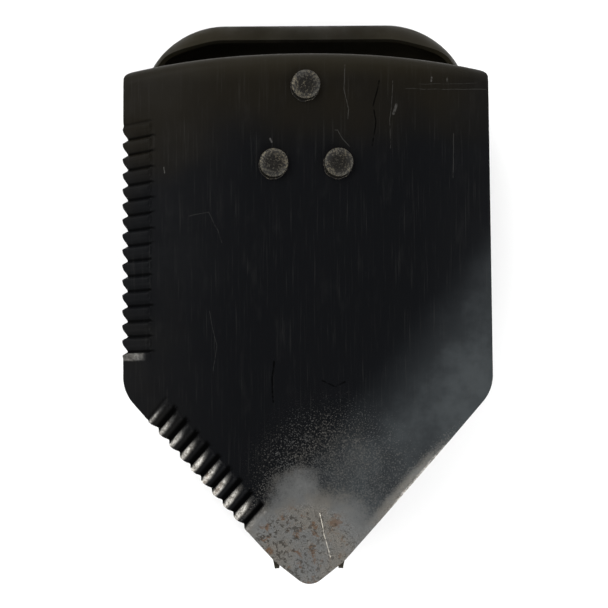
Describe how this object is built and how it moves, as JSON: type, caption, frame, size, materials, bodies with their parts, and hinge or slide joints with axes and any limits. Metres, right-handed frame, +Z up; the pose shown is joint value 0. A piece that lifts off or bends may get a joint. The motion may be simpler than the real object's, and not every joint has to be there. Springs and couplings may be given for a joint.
{
  "type": "folding camp shovel",
  "caption": "Folding shovel with a pressed, saw-edged steel blade, a short tubular shaft with a screw lock nut, and a D handle that folds under the blade.",
  "frame": {"origin": "on the ground, below the middle of the folded tool's bounding box", "axes": "+Y from the blade's tip to the grip, +Z up to the back of the blade, +X across the blade with the saw edge on -X"},
  "size_m": [0.1524, 0.2341, 0.0566],
  "materials": {
    "black_steel": "worn satin black paint on steel",
    "bare_steel": "dull bare steel",
    "black_alloy": "satin black paint on aluminium",
    "nut_black": "matt black"
  },
  "bodies": {
    "shaft": {"shaft_tube": "black_alloy", "threaded_end": "bare_steel", "shaft_knuckle": "black_alloy", "shaft_pin_front": "bare_steel", "shaft_pin_rear": "bare_steel", "nut_stop_ring": "bare_steel", "detent_ball_left": "bare_steel", "detent_ball_right": "bare_steel", "detent_spring": "bare_steel"},
    "blade_assembly": {"blade": "black_steel", "blade_bracket": "black_steel", "blade_rivet_top": "bare_steel", "blade_rivet_left": "bare_steel", "blade_rivet_right": "bare_steel", "hinge_pin": "bare_steel", "hinge_pin_washer": "bare_steel", "hinge_shim_left": "bare_steel", "hinge_shim_right": "bare_steel"},
    "handle": {"d_handle": "black_alloy", "pivot_rivet": "bare_steel", "pivot_washer_left": "bare_steel", "pivot_washer_right": "bare_steel"},
    "nut_travel": {"thrust_washer": "bare_steel"},
    "nut": {"lock_nut": "nut_black"}
  },
  "joints": [
    {"name": "blade_fold", "type": "hinge", "parent": "shaft", "child": "blade_assembly", "pos_m": [0, 0.081, 0.022], "axis": [-1, 0, 0], "range_deg": [0, 180]},
    {"name": "handle_fold", "type": "hinge", "parent": "shaft", "child": "handle", "pos_m": [0, -0.1, 0.022], "axis": [-1, 0, 0], "range_deg": [0, 180]},
    {"name": "nut_travel", "type": "slide", "parent": "shaft", "child": "nut_travel", "axis": [0, 1, 0], "range_m": [-0.0061, 0.0061]},
    {"name": "nut_spin", "type": "hinge", "parent": "nut_travel", "child": "nut", "pos_m": [0, 0.048, 0.022], "axis": [0, 1, 0], "range_deg": [-720, 720]}
  ],
  "couplings": [
    {"joint": "handle_fold", "follows": "blade_fold", "ratio": 1},
    {"joint": "nut_travel", "follows": "nut_spin", "m_per_rad": 0.00047746}
  ]
}
